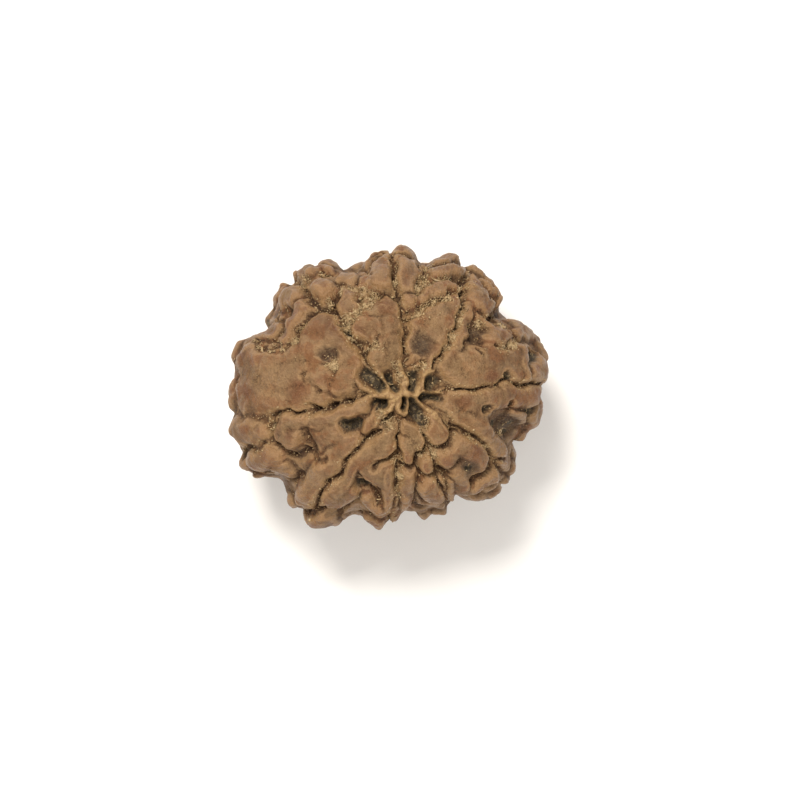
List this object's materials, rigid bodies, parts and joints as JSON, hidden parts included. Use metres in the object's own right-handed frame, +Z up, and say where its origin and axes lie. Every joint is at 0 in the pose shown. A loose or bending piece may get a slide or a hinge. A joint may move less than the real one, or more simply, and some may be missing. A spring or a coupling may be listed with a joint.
{
  "type": "nine-faced rudraksha seed stone",
  "caption": "Woody fruit stone of the rudraksha tree with nine grooves from pole to pole and a knobbly surface between them.",
  "frame": {"origin": "middle of the bounding box's base, on the surface that the stone rests on", "axes": "+Z up through the star where the grooves meet, +X along the longest width, +Y along the shorter width"},
  "size_m": [0.028, 0.0248, 0.0205],
  "materials": {
    "stone_shell": "matte, with a faint shine on the ridges"
  },
  "bodies": {
    "root": {"rudraksha_stone": "stone_shell"}
  },
  "joints": []
}
